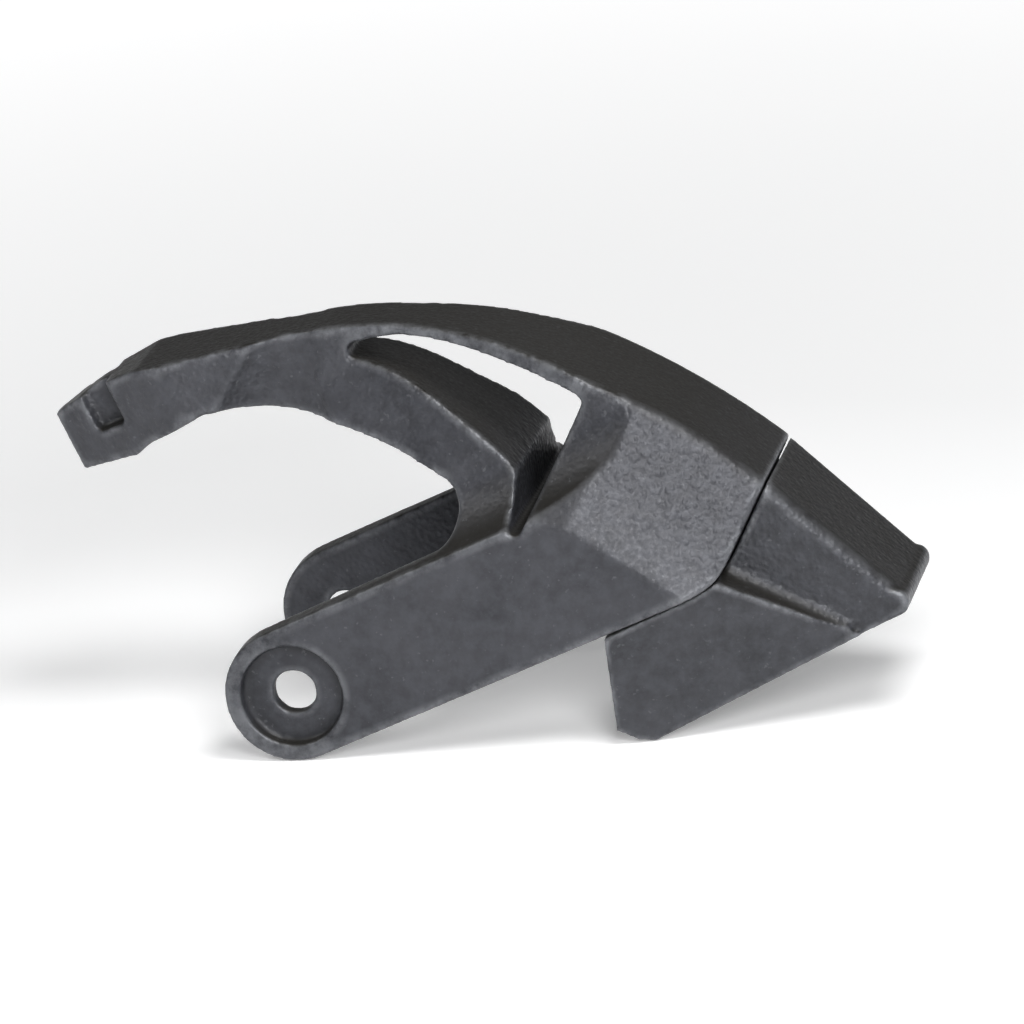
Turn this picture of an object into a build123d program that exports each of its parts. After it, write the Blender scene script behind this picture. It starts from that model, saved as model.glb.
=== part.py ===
from build123d import *
import os
from math import asin, atan2, cos, degrees, hypot, radians, sin, tan

# Excavator bucket tooth: a cast holder that hooks round the bucket lip, a wear cap that slides
# onto its nose, and the rubber lock that holds the cap.
os.makedirs("parts", exist_ok=True)

# Driving dimensions, in millimetres and degrees. Side outlines are (u, v) pairs: u runs along the
# ears towards the cutting edge, v runs square to it, and both start at the ear bore.
bore_diameter = 25.0
seat_diameter = 60.0
seat_depth = 8.0
ear_radius = 40.0
ear_gap = 132.0
ear_thickness = 18.0
gap_corner = 12.0
bridge_face = 126.0

mouth_depth = 134.0
ear_crown = 45.0
blend_middle = (63.0, 49.5)
blend_top = 72.0
arm_top = 203.0
arm_underside = 162.0
foot_reach = 79.0
foot_drop = 156.0
foot_web = 16.0
foot_end_width = 10.0
foot_front = -12.0
notch_length = 20.0
notch_floor = 175.0
notch_middle = -46.0
shoulder_width = 70.0
neck_width = 47.0
scoop_radius = 45.0
scoop_place = (48.0, 140.0)
scoop_waist = 30.0
scoop_lean = 7.0
scoop_rake = 40.0

body_width = 96.0
crown = (302.0, -2.0)
cheek_slope_u = 0.42
cheek_slope_v = 0.28
cheek_offset = 49.0
band_fall = 0.22
crown_round = 8.0
seam_corner_radius = 30.0

nose_angle = 50.0
nose_length = 50.0
nose_base_width = 68.0
nose_tip_width = 56.0
cap_length = 104.0
cap_wall = 13.0
cap_floor = 11.0
cap_top_angle = 15.5
cap_floor_angle = 18.0
cap_base_width = 94.0
edge_width = 86.0
edge_block = 14.0
ledge_round = 8.0
ledge_run = 78.0
wing_rear = 164.0
wing_hang = 6.0
edge_depth = 9.0
edge_drop = 10.5
wing_heel = 16.0
wing_wall = 13.0
ledge_wall = 10.0
wing_toe_in = 0.184
wing_lean = 0.223
nose_clearance = 0.4
nose_end_clearance = 1.5
seam_gap = 0.8
cut_size = 900.0

lock_length = 26.0
lock_width = 24.0
lock_depth = 14.0
lock_plate = 4.0
nub_length = 15.0
nub_width = 13.0
nub_height = 6.0
nub_clearance = 1.0
lock_corner = 4.0
nub_corner = 3.0
nub_round = 2.0
lock_setback = 24.0
lock_fit = 0.2

# The seam is square to the nose: d runs along the nose from it, p runs up it from its lower corner.
seam_length = (crown[1] + ear_radius) / cos(radians(nose_angle))
seam_foot = (crown[0] - seam_length * sin(radians(nose_angle)), -ear_radius)


def on_nose(d, p):
    """The (u, v) place of a point d along the nose and p up the seam."""
    u = seam_foot[0] + d * cos(radians(nose_angle)) + p * sin(radians(nose_angle))
    v = seam_foot[1] - d * sin(radians(nose_angle)) + p * cos(radians(nose_angle))
    return (u, v)


# The cap's cutting edge, and the drop of the wings below the bore.
top_fall = tan(radians(cap_top_angle))
floor_rise = tan(radians(cap_floor_angle))
edge_top = seam_length - cap_length * top_fall
floor_start = edge_top - edge_depth - cap_length * floor_rise
edge_height = edge_top - edge_drop
edge_bulge = on_nose(cap_length - 0.6, edge_height + edge_depth)
edge_end = on_nose(cap_length - 1.2, edge_height)
wing_drop = wing_hang - edge_end[1]

# Resting stance: the ear ends and the wings' rear corners stand on one level.
wing_corner = (wing_rear + wing_heel, -wing_drop)
corner_reach = hypot(*wing_corner)
stance = degrees(atan2(wing_drop, wing_corner[0]) - asin(ear_radius / corner_reach))
forward = Vector(cos(radians(stance)), 0, sin(radians(stance)))
upward = Vector(-sin(radians(stance)), 0, cos(radians(stance)))
side = Plane(origin=(0, 0, 0), x_dir=forward, z_dir=(0, -1, 0))
plan = Plane(origin=(0, 0, 0), x_dir=forward, z_dir=upward)
ear_outer = ear_gap / 2 + ear_thickness


def at(u, v, y=0.0):
    """A point of the natural frame, in the part's own frame."""
    return forward * u + upward * v + Vector(0, y, 0)


def heading(angle):
    """The direction that falls below u by an angle."""
    return forward * cos(radians(angle)) - upward * sin(radians(angle))


def cheek_plane(hand, u0, v0, width, slope_u, slope_v):
    """A plane through a point at a half width, which falls away towards +u and +v."""
    outward = forward * slope_u + upward * slope_v + Vector(0, hand, 0)
    return Plane(origin=at(u0, v0, hand * width), z_dir=outward)


# Width of the holder: ears and lower body, tapering upper body, and the arm in plan.
with BuildPart() as envelope:
    with BuildSketch(Plane(origin=at(-60, 0), x_dir=(0, 1, 0), z_dir=forward)):
        with BuildLine():
            Polyline((0, blend_top), (0, -60), (ear_outer, -60), (ear_outer, ear_radius))
            ThreePointArc((ear_outer, ear_radius), blend_middle, (body_width / 2, blend_top))
            Line((body_width / 2, blend_top), (0, blend_top))
        make_face()
        mirror(about=Plane.YZ)
    extrude(amount=cut_size / 2)
    tilt = 11.3
    with BuildSketch(Plane(origin=at(95, -11), x_dir=(0, 1, 0), z_dir=heading(-tilt))):
        with BuildLine():
            half = body_width / 2
            Line((0, -120), (half, -120))
            Line((half, -120), (half, 62))
            Spline((half, 62), (half - 2, 84), (half - 8, 101), (half - 17, 132), (neck_width / 2, 158))
            Polyline((neck_width / 2, 158), (neck_width / 2, 230), (0, 230), (0, -120))
        make_face()
        mirror(about=Plane.YZ)
    extrude(amount=cut_size / 2)
    with BuildSketch(plan.offset(120)):
        with BuildLine():
            half = shoulder_width / 2
            rear = -foot_reach
            Polyline(
                (rear, 0), (rear, foot_end_width / 2), (foot_front, half - 2), (0, half),
                (40, neck_width / 2 + 5), (90, neck_width / 2), (125, neck_width / 2), (125, 0),
                (rear, 0),
            )
        make_face()
        mirror(about=Plane.XZ)
    extrude(amount=110)

# Holder: the side outline, cut to the envelope.
with BuildPart() as holder:
    with BuildSketch(side) as holder_outline:
        with BuildLine():
            Line((0, -ear_radius), seam_foot)
            Line(seam_foot, crown)
            ThreePointArc(crown, (254, 72), (187, 136.5))
            ThreePointArc((187, 136.5), (143, 162.5), (100, 179))
            ThreePointArc((100, 179), (45, 191), (-12, arm_top))
            Line((-12, arm_top), (-42, arm_top - 1))
            Line((-42, arm_top - 1), (-foot_reach, arm_top - 9))
            Line((-foot_reach, arm_top - 9), (-foot_reach, foot_drop))
            Line((-foot_reach, foot_drop), (-39, foot_drop - 2))
            Line((-39, foot_drop - 2), (-27, arm_underside - 4))
            Line((-27, arm_underside - 4), (12, arm_underside))
            ThreePointArc((12, arm_underside), (84, 123), (mouth_depth - 1.5, 72))
            ThreePointArc((mouth_depth - 1.5, 72), (mouth_depth - 3, 52), (112, ear_crown - 3))
            Line((112, ear_crown - 3), (0, ear_radius))
            ThreePointArc((0, ear_radius), (-ear_radius, 0), (0, -ear_radius))
        make_face()
        seam_corner = holder_outline.vertices().sort_by_distance(Vector(*seam_foot, 0))[0]
        fillet(seam_corner, seam_corner_radius)
    extrude(amount=ear_outer, both=True)
    add(envelope.part, mode=Mode.INTERSECT)


# Cheek flats and the bevelled band beside the window, one for each side.
def cheek_cut(hand):
    """Everything outside a cheek flat."""
    flat = cheek_plane(hand, 243, 78, cheek_offset, cheek_slope_u, cheek_slope_v)
    with BuildPart() as cut:
        with BuildSketch(flat):
            Rectangle(cut_size, cut_size)
        extrude(amount=200)
    return cut.part


def band_cut(hand):
    """The band between the cheek flat and the window, which falls away from their crease."""
    fall_u = cheek_slope_u - 0.6 * band_fall
    fall_v = cheek_slope_v + 0.8 * band_fall
    crease_width = cheek_offset + cheek_slope_u * (243 - 182) + cheek_slope_v * (78 - 18)
    with BuildPart() as cut:
        with BuildSketch(side):
            with BuildLine():
                Polyline((166, 6), (240, 61.5), (222, 88), (146, 33), (166, 6))
            make_face()
        extrude(amount=-200 * hand)
        band = cheek_plane(hand, 182, 18, crease_width, fall_u, fall_v)
        split(bisect_by=band, keep=Keep.TOP)
    return cut.part


with holder:
    # Gap between the ears, with rounded corners where they meet the bridge.
    with BuildSketch(plan.offset(-60)):
        with Locations((bridge_face - 100, 0)):
            RectangleRounded(200, ear_gap, gap_corner)
    extrude(amount=60 + 62, mode=Mode.SUBTRACT)
    for hand in (-1, 1):
        add(cheek_cut(hand), mode=Mode.SUBTRACT)
        add(band_cut(hand), mode=Mode.SUBTRACT)
    # Window between the hook and the cheeks.
    with BuildSketch(side):
        with BuildLine():
            Spline((126, 161), (162, 144.5), (190, 122.5), (208, 106.5), (223, 91))
            Polyline((223, 91), (227, 84), (168, 34), (162, 37), (174, 62))
            Spline((174, 62), (165.5, 83), (154, 102), (132, 134.5), (109, 155))
            ThreePointArc((109, 155), (106, 160), (111, 164))
            Line((111, 164), (126, 161))
        make_face()
    extrude(amount=ear_outer, both=True, mode=Mode.SUBTRACT)
    # Scoops that thin the arm at its neck, and run out towards its top.
    scoop_line = forward * sin(radians(scoop_rake)) + upward * cos(radians(scoop_rake))
    for hand in (-1, 1):
        scoop_start = at(*scoop_place, hand * (scoop_waist / 2 + scoop_radius))
        outward = Vector(0, hand, 0)
        scoop_axis = scoop_line * cos(radians(scoop_lean)) + outward * sin(radians(scoop_lean))
        with BuildSketch(Plane(origin=scoop_start, z_dir=scoop_axis).offset(-30)):
            Circle(scoop_radius)
        extrude(amount=105, mode=Mode.SUBTRACT)
    # Rounds along the crown, between its top and the cheeks.
    fillet(holder.edges().filter_by(GeomType.ELLIPSE).sort_by(SortBy.LENGTH)[-2:], crown_round)
    # Notches in the sides of the foot.
    with BuildSketch(plan.offset(notch_floor)):
        for hand in (-1, 1):
            with Locations((notch_middle, hand * (foot_web / 2 + shoulder_width / 2))):
                Rectangle(notch_length, shoulder_width)
    extrude(amount=50, mode=Mode.SUBTRACT)
    # Bolt bore and its seats.
    for hand in (-1, 1):
        with Locations(Plane(origin=(0, hand * ear_outer, 0), z_dir=(0, hand, 0))):
            CounterBoreHole(bore_diameter / 2, seat_diameter / 2, seat_depth, ear_thickness)

# Nose: a tapering key with a blunt end.
nose_top = seam_length - cap_wall / cos(radians(cap_top_angle)) - nose_clearance
nose_foot = floor_start + (cap_floor + nose_clearance) / cos(radians(cap_floor_angle))


def nose_section(d, grow):
    """The plane of a section across the nose, its height and its width."""
    low = nose_foot + d * floor_rise - grow
    high = nose_top - d * top_fall + grow
    share = d / nose_length
    width = nose_base_width + (nose_tip_width - nose_base_width) * share + 2 * grow
    u, v = on_nose(d, (low + high) / 2)
    plane = Plane(origin=at(u, v), x_dir=(0, 1, 0), z_dir=heading(nose_angle))
    return plane, high - low, width


def nose_shape(start, end, grow):
    """The nose, or the socket that takes it when it grows by the clearance."""
    with BuildPart() as shape:
        for d in (start, end):
            plane, height, width = nose_section(d, grow)
            with BuildSketch(plane):
                Rectangle(width, height)
        loft()
    return shape.part


with holder:
    add(nose_shape(-14, nose_length, 0.0))


# Lock: a rubber block on a steel plate, in a pocket under the nose, with a nub that snaps
# into a slot in the cap's floor.
lock_height = nose_foot + lock_setback * floor_rise
lock_face = Plane(
    origin=at(*on_nose(lock_setback, lock_height)),
    x_dir=(0, 1, 0),
    z_dir=heading(nose_angle - cap_floor_angle + 90),
)
with holder:
    with BuildSketch(lock_face):
        RectangleRounded(lock_width, lock_length, lock_corner)
    extrude(amount=-lock_depth, mode=Mode.SUBTRACT)
holder.part.label = "tooth_holder"
export_step(holder.part, "parts/tooth_holder.step")

with BuildPart() as lock_base:
    with BuildSketch(lock_face.offset(-lock_depth)):
        RectangleRounded(lock_width - 2 * lock_fit, lock_length - 2 * lock_fit, lock_corner - lock_fit)
    extrude(amount=lock_plate)
lock_base.part.label = "lock_plate"
export_step(lock_base.part, "parts/lock_plate.step")

with BuildPart() as lock_block:
    with BuildSketch(lock_face.offset(lock_plate - lock_depth)):
        RectangleRounded(lock_width - 2 * lock_fit, lock_length - 2 * lock_fit, lock_corner - lock_fit)
    extrude(amount=lock_depth - lock_plate)
    with BuildSketch(lock_face):
        RectangleRounded(nub_width, nub_length, nub_corner)
    extrude(amount=nub_height)
    fillet(lock_block.faces().sort_by(Axis((0, 0, 0), lock_face.z_dir))[-1].edges(), nub_round)
lock_block.part.label = "lock_rubber"
export_step(lock_block.part, "parts/lock_rubber.step")

# Wear cap: an upper block over the nose and two wings below the holder.
ledge = Plane(origin=at(*seam_foot), x_dir=heading(nose_angle), z_dir=heading(nose_angle - 90))
with BuildPart() as cap_envelope:
    with BuildSketch(ledge):
        with BuildLine():
            Polyline(
                (-20, 0), (-20, cap_base_width / 2), (0, cap_base_width / 2),
                (cap_length, edge_width / 2), (cap_length + 10, edge_width / 2 - 3),
                (cap_length + 10, 0), (-20, 0),
            )
        make_face()
        mirror(about=Plane.XZ)
    extrude(amount=90)

with BuildPart() as wings:
    with BuildSketch(side):
        with BuildLine():
            ledge_rear = on_nose(-cap_length, 0)
            ledge_end = on_nose(cap_length, 0)
            Polyline(ledge_rear, ledge_end, (100, ledge_end[1]), (100, ledge_rear[1]), ledge_rear)
        make_face()
    extrude(amount=ear_outer, both=True)
    for hand in (-1, 1):
        wing_face = cheek_plane(hand, 187, -ear_radius, ear_outer, wing_toe_in, -wing_lean)
        with BuildSketch(wing_face):
            Rectangle(cut_size, cut_size)
        extrude(amount=200, mode=Mode.SUBTRACT)

# Hollow rounds where the cap's sides meet its ledges, cut off flush with the wings.
with BuildPart() as ledge_blend:
    middle = ledge_round * (1 - cos(radians(45)))
    for hand in (-1, 1):
        taper = Vector(0, hand * (edge_width - cap_base_width) / 2, 0)
        run = (heading(nose_angle) * cap_length + taper).normalized()
        start = at(*on_nose(seam_gap, 0), hand * cap_base_width / 2)
        with BuildSketch(Plane(origin=start, x_dir=(0, hand, 0), z_dir=run)):
            with BuildLine():
                Polyline((0, hand * ledge_round), (-2, hand * ledge_round), (-2, -hand), (ledge_round, -hand))
                Line((ledge_round, -hand), (ledge_round, 0))
                ThreePointArc((ledge_round, 0), (middle, hand * middle), (0, hand * ledge_round))
            make_face()
        extrude(amount=ledge_run)
    for hand in (-1, 1):
        with BuildSketch(cheek_plane(hand, 187, -ear_radius, ear_outer, wing_toe_in, -wing_lean)):
            Rectangle(cut_size, cut_size)
        extrude(amount=200, mode=Mode.SUBTRACT)

with BuildPart() as cap:
    corner_rise = seam_gap * (sin(radians(nose_angle)) - 1) / cos(radians(nose_angle))
    with BuildSketch(side) as cap_outline:
        with BuildLine():
            inner_corner = on_nose(seam_gap, corner_rise)
            seam_top = on_nose(seam_gap, seam_length - seam_gap * top_fall)
            edge_start = on_nose(cap_length - 8, seam_length - (cap_length - 8) * top_fall)
            Line(inner_corner, seam_top)
            Line(seam_top, edge_start)
            heel = (wing_rear + wing_heel / 2, wing_heel / 3 - wing_drop)
            wing_top = (wing_rear + 21, -ear_radius - seam_gap)
            ThreePointArc(edge_start, edge_bulge, edge_end)
            Line(edge_end, wing_corner)
            Line(wing_corner, heel)
            Line(heel, (wing_rear, wing_heel - wing_drop))
            Line((wing_rear, wing_heel - wing_drop), wing_top)
            Line(wing_top, inner_corner)
        make_face()
        cap_corner = cap_outline.vertices().sort_by_distance(Vector(*inner_corner, 0))[0]
        fillet(cap_corner, seam_corner_radius + seam_gap)
    extrude(amount=ear_outer, both=True)
    add(cap_envelope.part + wings.part, mode=Mode.INTERSECT)
    add(ledge_blend.part)
    # Rounds along the upper edges, in line with those of the crown.
    upper_face = cap.faces().sort_by(Axis((0, 0, 0), heading(nose_angle + cap_top_angle - 90)))[-1]
    upper_edges = upper_face.edges().sort_by(Axis.Y)
    fillet([upper_edges[0], upper_edges[-1]], crown_round)

# Hollow between the wings, under the floor. Above the ledge it narrows to leave the walls whole.
with BuildPart() as hollow:
    rear = on_nose(-60, floor_start - 60 * floor_rise)
    front = on_nose(cap_length - edge_block, floor_start + (cap_length - edge_block) * floor_rise)
    below = -wing_drop - 30
    with BuildSketch(side):
        with BuildLine():
            Polyline(rear, front, (front[0] - 8, below), (100, below), (100, 0), rear)
        make_face()
    extrude(amount=ear_outer, both=True)
    for hand in (-1, 1):
        wing_inside = ear_outer - wing_wall
        inner_face = cheek_plane(hand, 187, -ear_radius, wing_inside, wing_toe_in, -wing_lean)
        with BuildSketch(inner_face):
            Rectangle(cut_size, cut_size)
        extrude(amount=200, mode=Mode.SUBTRACT)
        with BuildSketch(ledge.offset(-ledge_wall)):
            with Locations((0, hand * (edge_width / 2 - wing_wall + 100))):
                Rectangle(cut_size, 200)
        extrude(amount=200, mode=Mode.SUBTRACT)

with cap:
    add(hollow.part, mode=Mode.SUBTRACT)
    add(nose_shape(-14, nose_length + nose_end_clearance, nose_clearance), mode=Mode.SUBTRACT)
    with BuildSketch(lock_face):
        RectangleRounded(nub_width + 2 * nub_clearance, nub_length + 2 * nub_clearance, lock_corner)
    extrude(amount=4 * cap_floor, mode=Mode.SUBTRACT)
cap.part.label = "wear_cap"
export_step(cap.part, "parts/wear_cap.step")

for piece in (holder, cap, lock_base, lock_block):
    solid = piece.part
    print(solid.label, round(solid.volume), "mm3,", len(solid.solids()), "solid, valid", solid.is_valid)
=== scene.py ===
import math

import bmesh
import bpy
import numpy as np
from mathutils import Matrix, Vector, noise


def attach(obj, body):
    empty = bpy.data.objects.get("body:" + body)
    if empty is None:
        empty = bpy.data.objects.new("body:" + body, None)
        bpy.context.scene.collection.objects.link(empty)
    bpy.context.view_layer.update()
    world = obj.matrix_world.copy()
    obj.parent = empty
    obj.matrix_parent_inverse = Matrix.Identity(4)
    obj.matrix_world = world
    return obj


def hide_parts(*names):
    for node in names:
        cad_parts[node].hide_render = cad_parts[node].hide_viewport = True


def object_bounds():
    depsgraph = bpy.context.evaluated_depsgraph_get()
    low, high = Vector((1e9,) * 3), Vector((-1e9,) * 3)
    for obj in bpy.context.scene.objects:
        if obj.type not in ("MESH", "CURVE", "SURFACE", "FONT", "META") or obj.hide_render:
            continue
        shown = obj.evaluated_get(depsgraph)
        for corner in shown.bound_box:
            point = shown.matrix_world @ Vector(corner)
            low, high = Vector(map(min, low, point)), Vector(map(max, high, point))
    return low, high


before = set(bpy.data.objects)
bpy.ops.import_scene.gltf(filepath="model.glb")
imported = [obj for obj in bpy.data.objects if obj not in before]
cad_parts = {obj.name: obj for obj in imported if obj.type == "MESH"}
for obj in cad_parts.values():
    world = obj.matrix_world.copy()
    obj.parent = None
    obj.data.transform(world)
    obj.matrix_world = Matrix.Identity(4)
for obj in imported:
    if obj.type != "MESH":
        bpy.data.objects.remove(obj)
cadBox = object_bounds()
low, high = (Vector(corner) for corner in cadBox)
centre = (low + high) / 2
print("frame loaded:", sorted(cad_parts))

# vertices of the CAD copies closer than this are one vertex, in metres
mergeDistance = 0.000004


def copyNode(node, name):
    # a merged copy of a CAD node's loose triangles
    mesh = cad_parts[node].data.copy()
    mesh.name = name
    mesh.materials.clear()
    bm = bmesh.new()
    bm.from_mesh(mesh)
    bmesh.ops.remove_doubles(bm, verts=bm.verts, dist=mergeDistance)
    bm.to_mesh(mesh)
    bm.free()
    piece = bpy.data.objects.new(name, mesh)
    bpy.context.scene.collection.objects.link(piece)
    return piece


def reskin(piece, voxel):
    # one even skin of small faces all over, so that the edges can be worn round
    skin = piece.modifiers.new("skin", "REMESH")
    skin.mode = "VOXEL"
    skin.voxel_size = voxel
    skin.adaptivity = 0.0
    bpy.context.view_layer.update()
    graph = bpy.context.evaluated_depsgraph_get()
    mesh = bpy.data.meshes.new_from_object(piece.evaluated_get(graph))
    piece.modifiers.clear()
    piece.data = mesh


def wearRound(piece, passes):
    # rounds the edges of a casting the way moulding sand and shot blasting do
    bm = bmesh.new()
    bm.from_mesh(piece.data)
    for _ in range(passes):
        bmesh.ops.smooth_vert(bm, verts=bm.verts, factor=0.5, use_axis_x=True, use_axis_y=True,
                              use_axis_z=True)
    bmesh.ops.recalc_face_normals(bm, faces=bm.faces)
    bm.to_mesh(piece.data)
    bm.free()


def shadeSmooth(piece):
    piece.data.polygons.foreach_set("use_smooth", [True] * len(piece.data.polygons))
    piece.data.update()


def vertexArrays(mesh):
    places = np.zeros(len(mesh.vertices) * 3)
    mesh.vertices.foreach_get("co", places)
    normals = np.zeros(len(mesh.vertices) * 3)
    mesh.vertices.foreach_get("normal", normals)
    return places.reshape(-1, 3), normals.reshape(-1, 3)


def neighbourMean(mesh, values):
    # the mean of the neighbours' values at each vertex
    ends = np.zeros(len(mesh.edges) * 2, dtype=np.int64)
    mesh.edges.foreach_get("vertices", ends)
    ends = ends.reshape(-1, 2)
    total = np.zeros_like(values)
    count = np.zeros(len(values))
    for a, b in ((0, 1), (1, 0)):
        np.add.at(total, ends[:, a], values[ends[:, b]])
        np.add.at(count, ends[:, a], 1.0)
    if values.ndim > 1:
        return total / np.maximum(count, 1.0)[:, None]
    return total / np.maximum(count, 1.0)


def sandSkin(piece, sand):
    # the sand's grain and the pattern's slow waves, pressed inwards only
    mesh = piece.data
    places, normals = vertexArrays(mesh)
    depth = np.zeros(len(places))
    for i, place in enumerate(places):
        spot = Vector(place)
        grain = noise.fractal(spot / sand["grainSize"], 0.7, 2.0, 3)
        wave = noise.noise(spot / sand["waveSize"])
        depth[i] = sand["grainDepth"] * (0.5 + 0.5 * grain) + sand["waveDepth"] * (0.5 + 0.5 * wave)
    places -= normals * np.clip(depth, 0.0, None)[:, None]
    mesh.vertices.foreach_set("co", places.ravel())
    mesh.update()


def markEdges(piece, edges):
    # edgeWear is high on outer edges, crevice in inner corners
    mesh = piece.data
    places, normals = vertexArrays(mesh)
    mean = places
    for _ in range(edges["reach"]):
        mean = neighbourMean(mesh, mean)
    bend = ((places - mean) * normals).sum(1)
    for _ in range(edges["spread"]):
        bend = neighbourMean(mesh, bend)
    top = np.percentile(np.abs(bend), edges["percentile"])
    for name, values in (("edgeWear", bend / top), ("crevice", -bend / top)):
        layer = mesh.attributes.new(name, "FLOAT", "POINT")
        layer.data.foreach_set("value", np.clip(values, 0.0, 1.0).astype(np.float32))


class Finish:
    # one material, with short calls for its nodes
    def __init__(self, name):
        self.material = bpy.data.materials.new(name)
        self.material.use_nodes = True
        self.nodes = self.material.node_tree.nodes
        self.links = self.material.node_tree.links
        self.shader = self.nodes["Principled BSDF"]
        self.coords = self.nodes.new("ShaderNodeTexCoord").outputs["Object"]

    def link(self, out, into):
        self.links.new(out, into)

    def noise(self, size, detail=3.0, rough=0.5):
        node = self.nodes.new("ShaderNodeTexNoise")
        node.inputs["Scale"].default_value = 1.0 / size
        node.inputs["Detail"].default_value = detail
        node.inputs["Roughness"].default_value = rough
        self.link(self.coords, node.inputs["Vector"])
        return node.outputs["Fac"]

    def cells(self, size):
        node = self.nodes.new("ShaderNodeTexVoronoi")
        node.feature = "SMOOTH_F1"
        node.inputs["Scale"].default_value = 1.0 / size
        self.link(self.coords, node.inputs["Vector"])
        return node.outputs["Distance"]

    def attribute(self, name):
        node = self.nodes.new("ShaderNodeAttribute")
        node.attribute_name = name
        return node.outputs["Fac"]

    def sideways(self):
        # the distance from the middle plane
        split = self.nodes.new("ShaderNodeSeparateXYZ")
        self.link(self.coords, split.inputs["Vector"])
        return self.maths("ABSOLUTE", split.outputs["Y"], 0.0)

    def facingUp(self):
        geometry = self.nodes.new("ShaderNodeNewGeometry")
        split = self.nodes.new("ShaderNodeSeparateXYZ")
        self.link(geometry.outputs["Normal"], split.inputs["Vector"])
        return split.outputs["Z"]

    def ramp(self, value, low, high, start=0.0, end=1.0):
        node = self.nodes.new("ShaderNodeMapRange")
        node.inputs["From Min"].default_value = low
        node.inputs["From Max"].default_value = high
        node.inputs["To Min"].default_value = start
        node.inputs["To Max"].default_value = end
        self.link(value, node.inputs["Value"])
        return node.outputs["Result"]

    def maths(self, kind, a, b):
        node = self.nodes.new("ShaderNodeMath")
        node.operation = kind
        for socket, value in zip(node.inputs, (a, b)):
            if isinstance(value, float):
                socket.default_value = value
            else:
                self.link(value, socket)
        return node.outputs["Value"]

    def blend(self, factor, first, second):
        node = self.nodes.new("ShaderNodeMix")
        node.data_type = "RGBA"
        self.link(factor, node.inputs["Factor"])
        for socket, value in ((node.inputs[6], first), (node.inputs[7], second)):
            if isinstance(value, tuple):
                socket.default_value = (*value, 1.0)
            else:
                self.link(value, socket)
        return node.outputs[2]

    def bump(self, height, distance, strength, under=None):
        node = self.nodes.new("ShaderNodeBump")
        node.inputs["Distance"].default_value = distance
        if isinstance(strength, float):
            node.inputs["Strength"].default_value = strength
        else:
            self.link(strength, node.inputs["Strength"])
        self.link(height, node.inputs["Height"])
        if under is not None:
            self.link(under, node.inputs["Normal"])
        return node.outputs["Normal"]


def makeCastSteel(name, look):
    # dark heat scale over shot-blasted steel, brownish dust with painted shade on top, rubbed bright where
    # edges stand out
    finish = Finish(name)
    clouds = finish.ramp(finish.noise(look["cloudSize"], 5.0, 0.6), 0.35, 0.68)
    mottle = finish.ramp(finish.noise(look["mottleSize"], 4.0, 0.65), 0.38, 0.66)
    grain = finish.noise(look["grainSize"], 4.0, 0.6)
    pebbles = finish.cells(look["pebbleSize"])
    colour = finish.blend(clouds, look["scale"], look["scaleLight"])
    colour = finish.blend(finish.maths("MULTIPLY", mottle, look["mottle"]), colour, look["bluish"])
    # brownish dust with painted shade: upward faces are darkened towards a dark brownish colour
    dustAndTopShade = finish.maths("MULTIPLY", finish.ramp(finish.facingUp(), 0.35, 0.85), look["dustAndTopShade"])
    colour = finish.blend(dustAndTopShade, colour, look["dustAndTopShadeColour"])
    # painted shade: inner corners and creases are darkened towards near black
    crevice = finish.ramp(finish.attribute("crevice"), 0.25, 1.0, 0.0, look["crevice"])
    colour = finish.blend(crevice, colour, look["creviceShade"])
    rub = finish.maths("MULTIPLY", finish.ramp(finish.attribute("edgeWear"), 0.25, 0.95),
                       finish.ramp(finish.noise(look["rubSize"], 5.0, 0.7), 0.36, 0.6))
    rub = finish.maths("MULTIPLY", rub, look["rub"])
    speck = finish.ramp(finish.noise(look["speckSize"], 2.0, 0.5), 0.66, 0.74, 0.0, look["speck"])
    colour = finish.blend(finish.maths("MAXIMUM", rub, speck), colour, look["bareSteel"])
    finish.link(colour, finish.shader.inputs["Base Color"])
    rough = finish.ramp(grain, 0.3, 0.7, look["roughLow"], look["roughHigh"])
    rubbed = finish.maths("MULTIPLY", rub, look["rubSmooth"])
    finish.link(finish.maths("SUBTRACT", rough, rubbed), finish.shader.inputs["Roughness"])
    finish.shader.inputs["Metallic"].default_value = look["metal"]
    finish.shader.inputs["Specular IOR Level"].default_value = look["sheen"]
    # pebbled on the cheeks and the hook, smoother on the outer plates and along the top
    plates = finish.ramp(finish.sideways(), look["plateStart"], look["plateFull"], 1.0, look["plateRelief"])
    tops = finish.ramp(finish.facingUp(), 0.3, 0.75, 1.0, look["topRelief"])
    relief = finish.maths("MULTIPLY", plates, tops)
    skin = finish.bump(finish.ramp(pebbles, 0.0, 0.7, 1.0, 0.0), look["pebbleDepth"], relief)
    skin = finish.bump(grain, look["grainDepth"], relief, skin)
    skin = finish.bump(finish.noise(look["mottleSize"], 3.0, 0.5), look["mottleDepth"], relief, skin)
    finish.link(skin, finish.shader.inputs["Normal"])
    return finish.material


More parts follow.
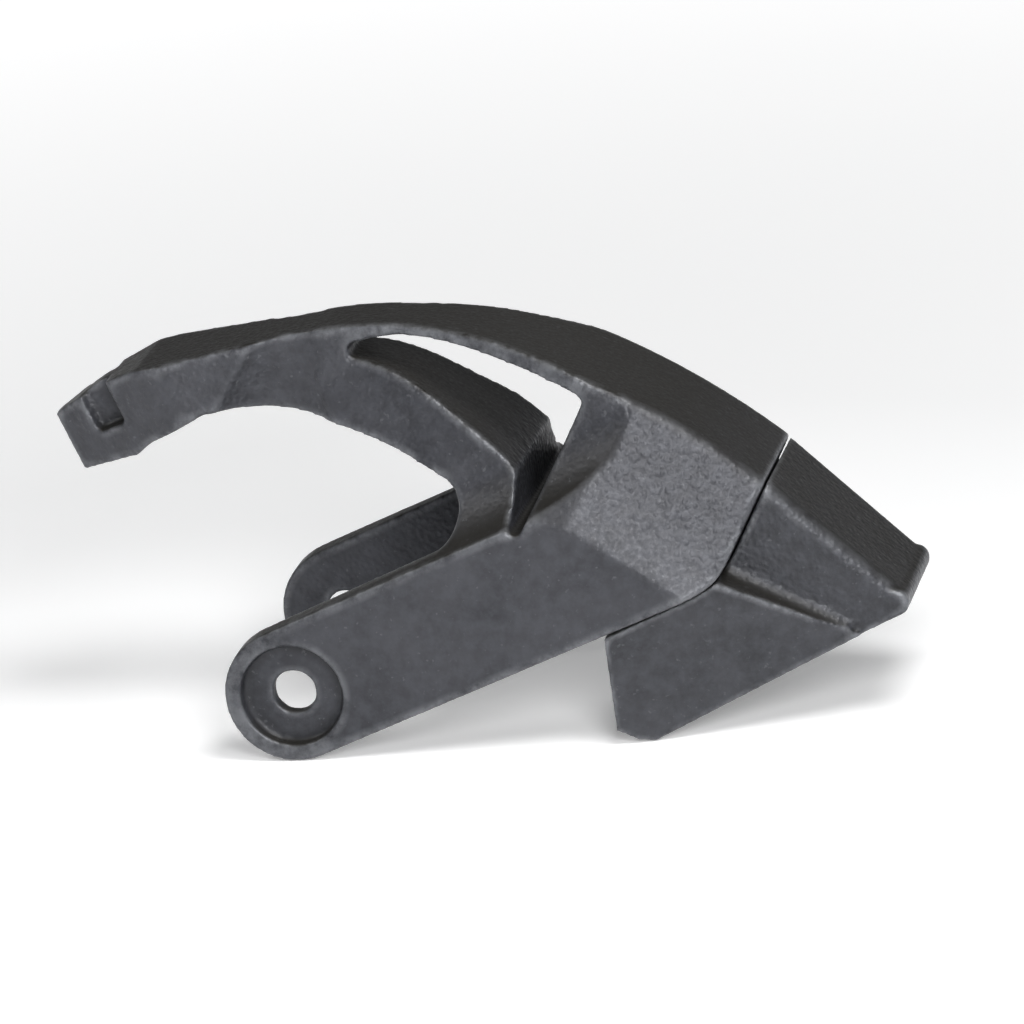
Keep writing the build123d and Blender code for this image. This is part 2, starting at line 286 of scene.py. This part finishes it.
holderSteelLook = {
    "cloudSize": 0.06, "mottleSize": 0.009, "grainSize": 0.0022, "pebbleSize": 0.0032,
    "rubSize": 0.016, "speckSize": 0.0035,
    "scale": (0.030, 0.031, 0.036), "scaleLight": (0.050, 0.051, 0.058), "bluish": (0.068, 0.071, 0.082),
    # the first colour on the next line is brownish dust with painted shade for the upward faces, the second
    # is painted shade for the inner corners
    "dustAndTopShadeColour": (0.021, 0.019, 0.015), "creviceShade": (0.006, 0.006, 0.006), "bareSteel": (0.30, 0.31, 0.33),
    "mottle": 0.45, "dustAndTopShade": 0.85, "rub": 0.35, "rubSmooth": 0.12, "speck": 0.12, "crevice": 0.4,
    "roughLow": 0.34, "roughHigh": 0.52, "metal": 0.3, "sheen": 0.35,
    "plateStart": 0.066, "plateFull": 0.078, "plateRelief": 0.3, "topRelief": 0.3,
    "pebbleDepth": 0.0005, "grainDepth": 0.0003, "mottleDepth": 0.0007,
}
capSteelLook = dict(holderSteelLook, cloudSize=0.045, scale=(0.028, 0.029, 0.033),
                    scaleLight=(0.045, 0.046, 0.052), rub=0.4)
holderSteel = makeCastSteel("holder_cast_steel", holderSteelLook)
capSteel = makeCastSteel("cap_cast_steel", capSteelLook)


plateLook = {
    "streakSize": 0.004, "dark": (0.42, 0.42, 0.44), "light": (0.58, 0.57, 0.55),
    "roughLow": 0.28, "roughHigh": 0.45, "grainSize": 0.0012, "grainDepth": 0.0001,
}


def makePlatedSteel(look):
    # zinc plate, a little streaked
    finish = Finish("lock_steel")
    streaks = finish.noise(look["streakSize"], 4.0, 0.6)
    colour = finish.blend(finish.ramp(streaks, 0.35, 0.7), look["dark"], look["light"])
    finish.link(colour, finish.shader.inputs["Base Color"])
    rough = finish.ramp(streaks, 0.3, 0.7, look["roughLow"], look["roughHigh"])
    finish.link(rough, finish.shader.inputs["Roughness"])
    finish.shader.inputs["Metallic"].default_value = 1.0
    skin = finish.bump(finish.noise(look["grainSize"], 3.0), look["grainDepth"], 0.5)
    finish.link(skin, finish.shader.inputs["Normal"])
    return finish.material


rubberLook = {
    "bloomSize": 0.006, "black": (0.018, 0.018, 0.018), "bloom": (0.045, 0.044, 0.042),
    "roughLow": 0.62, "roughHigh": 0.8, "grainSize": 0.0009, "grainDepth": 0.00012,
}


def makeRubber(look):
    # black rubber with a grey bloom
    finish = Finish("lock_rubber")
    bloom = finish.ramp(finish.noise(look["bloomSize"], 4.0, 0.6), 0.4, 0.7)
    finish.link(finish.blend(bloom, look["black"], look["bloom"]), finish.shader.inputs["Base Color"])
    rough = finish.ramp(bloom, 0.0, 1.0, look["roughLow"], look["roughHigh"])
    finish.link(rough, finish.shader.inputs["Roughness"])
    skin = finish.bump(finish.noise(look["grainSize"], 3.0), look["grainDepth"], 0.6)
    finish.link(skin, finish.shader.inputs["Normal"])
    return finish.material


# rings of neighbours compared, rings averaged, and the share of vertices below full wear
edgeMarks = {"reach": 6, "spread": 3, "percentile": 97}
holderCasting = {
    "voxel": 0.00185, "passes": 3,
    "sand": {"grainSize": 0.005, "grainDepth": 0.00018, "waveSize": 0.06, "waveDepth": 0.00015},
}
capCasting = {
    "voxel": 0.0014, "passes": 3,
    "sand": {"grainSize": 0.005, "grainDepth": 0.00015, "waveSize": 0.05, "waveDepth": 0.00015},
}


def makeCasting(node, name, body, material, casting):
    piece = copyNode(node, name)
    reskin(piece, casting["voxel"])
    wearRound(piece, casting["passes"])
    markEdges(piece, edgeMarks)
    sandSkin(piece, casting["sand"])
    shadeSmooth(piece)
    piece.data.materials.append(material)
    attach(piece, body)
    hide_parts(node)
    print(name, "has", len(piece.data.polygons), "faces")
    return piece


makeCasting("tooth_holder", "holderCasting", "holder", holderSteel, holderCasting)
makeCasting("wear_cap", "capCasting", "cap", capSteel, capCasting)


# the lock's plate and rubber, with moulded edges
lockPieces = {
    "lock_plate": {"name": "lockPlate", "round": 0.0005, "slot": "lock_steel"},
    "lock_rubber": {"name": "lockRubber", "round": 0.0008, "slot": "lock_rubber"},
}
lockFinishes = {"lock_steel": makePlatedSteel(plateLook), "lock_rubber": makeRubber(rubberLook)}
lockRounds = {"flatAngle": math.radians(1.0), "sharpAngle": math.radians(40), "segments": 3}


def makeLockPiece(node, parts):
    piece = copyNode(node, parts["name"])
    bm = bmesh.new()
    bm.from_mesh(piece.data)
    bmesh.ops.dissolve_limit(bm, angle_limit=lockRounds["flatAngle"], verts=bm.verts, edges=bm.edges)
    sharp = [e for e in bm.edges if e.is_manifold and e.calc_face_angle() > lockRounds["sharpAngle"]]
    bmesh.ops.bevel(bm, geom=sharp, offset=parts["round"], affect="EDGES",
                    segments=lockRounds["segments"], profile=0.5, material=-1)
    bm.to_mesh(piece.data)
    bm.free()
    shadeSmooth(piece)
    piece.data.materials.append(lockFinishes[parts["slot"]])
    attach(piece, "holder")
    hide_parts(node)
    print(parts["name"], "made")


for node, parts in lockPieces.items():
    makeLockPiece(node, parts)


floorSettings = {"size": 12.0, "colour": (0.9, 0.9, 0.9), "rough": 0.9,
                 "nearGlow": 0.26, "farGlow": 1.0, "near": 0.6, "far": 2.6}


def makeFloor(settings):
    bm = bmesh.new()
    bmesh.ops.create_grid(bm, x_segments=1, y_segments=1, size=settings["size"])
    bmesh.ops.translate(bm, verts=bm.verts, vec=(0, 0, low.z))
    mesh = bpy.data.meshes.new("floor")
    bm.to_mesh(mesh)
    bm.free()
    floor = bpy.data.objects.new("floor", mesh)
    bpy.context.scene.collection.objects.link(floor)
    paper = Finish("stage_paper")
    paper.shader.inputs["Base Color"].default_value = (*settings["colour"], 1.0)
    paper.shader.inputs["Roughness"].default_value = settings["rough"]
    paper.shader.inputs["Emission Color"].default_value = (1.0, 1.0, 1.0, 1.0)
    # the paper glows more away from the tooth, where the lamps no longer reach
    away = paper.nodes.new("ShaderNodeVectorMath")
    away.operation = "DISTANCE"
    paper.link(paper.coords, away.inputs[0])
    away.inputs[1].default_value = (centre.x, centre.y, low.z)
    glow = paper.ramp(away.outputs["Value"], settings["near"], settings["far"],
                      settings["nearGlow"], settings["farGlow"])
    paper.link(glow, paper.shader.inputs["Emission Strength"])
    mesh.materials.append(paper.material)


# how far up the sky the pale walls reach, and where the dim ceiling is full
studioSettings = {"wall": (0.95, 0.97, 1.0), "wallStrength": 0.22, "ceilingStrength": 0.08,
                  "wallTop": 0.1, "ceilingStart": 0.75}


def makeStudio(settings):
    world = bpy.data.worlds.new("studio")
    world.use_nodes = True
    nodes = world.node_tree.nodes
    links = world.node_tree.links
    height = nodes.new("ShaderNodeSeparateXYZ")
    links.new(nodes.new("ShaderNodeTexCoord").outputs["Generated"], height.inputs["Vector"])
    fade = nodes.new("ShaderNodeMapRange")
    fade.inputs["From Min"].default_value = settings["wallTop"]
    fade.inputs["From Max"].default_value = settings["ceilingStart"]
    fade.inputs["To Min"].default_value = settings["wallStrength"]
    fade.inputs["To Max"].default_value = settings["ceilingStrength"]
    links.new(height.outputs["Z"], fade.inputs["Value"])
    nodes["Background"].inputs["Color"].default_value = (*settings["wall"], 1.0)
    links.new(fade.outputs["Result"], nodes["Background"].inputs["Strength"])
    bpy.context.scene.world = world


makeFloor(floorSettings)
makeStudio(studioSettings)

# azimuth is measured from straight in front of the near side, towards the cutting edge
lamps = {
    "key": {"azimuth": 24.0, "elevation": 27.0, "away": 1.9, "size": 0.7, "power": 22.0},
    "side": {"azimuth": -62.0, "elevation": 42.0, "away": 2.2, "size": 0.9, "power": 10.0},
    "overhead": {"azimuth": 46.0, "elevation": 58.0, "away": 2.2, "size": 0.9, "power": 30.0},
    "back": {"azimuth": 170.0, "elevation": 40.0, "away": 2.4, "size": 1.5, "power": 1.0},
}


def outwards(azimuth, elevation):
    a = math.radians(azimuth)
    e = math.radians(elevation)
    return Vector((math.sin(a) * math.cos(e), -math.cos(a) * math.cos(e), math.sin(e)))


def makeLamp(name, lamp):
    light = bpy.data.lights.new(name, "AREA")
    light.shape = "DISK"
    light.size = lamp["size"]
    light.energy = lamp["power"]
    stand = bpy.data.objects.new(name, light)
    direction = outwards(lamp["azimuth"], lamp["elevation"])
    stand.location = centre + direction * lamp["away"]
    stand.rotation_euler = direction.to_track_quat("Z", "Y").to_euler()
    bpy.context.scene.collection.objects.link(stand)


for name, lamp in lamps.items():
    makeLamp(name, lamp)

cameraSettings = {"azimuth": 13.28, "elevation": 17.55, "roll": 6.29, "lens": 263.7, "distance": 4.363,
                  "right": 0.0149, "up": -0.0016, "clip": 50.0}


def makeCamera(settings):
    lens = bpy.data.cameras.new("studioCamera")
    lens.lens = settings["lens"]
    lens.clip_end = settings["clip"]
    camera = bpy.data.objects.new("studioCamera", lens)
    back = outwards(settings["azimuth"], settings["elevation"])
    turn = back.to_track_quat("Z", "Y").to_matrix()
    roll = Matrix.Rotation(math.radians(-settings["roll"]), 3, "Z")
    turn = turn @ roll
    aim = centre + turn.col[0] * settings["right"] + turn.col[1] * settings["up"]
    camera.rotation_euler = turn.to_euler()
    camera.location = aim + back * settings["distance"]
    bpy.context.scene.collection.objects.link(camera)
    bpy.context.scene.camera = camera


makeCamera(cameraSettings)
bpy.context.scene.view_settings.view_transform = "Standard"
print("studio ready")
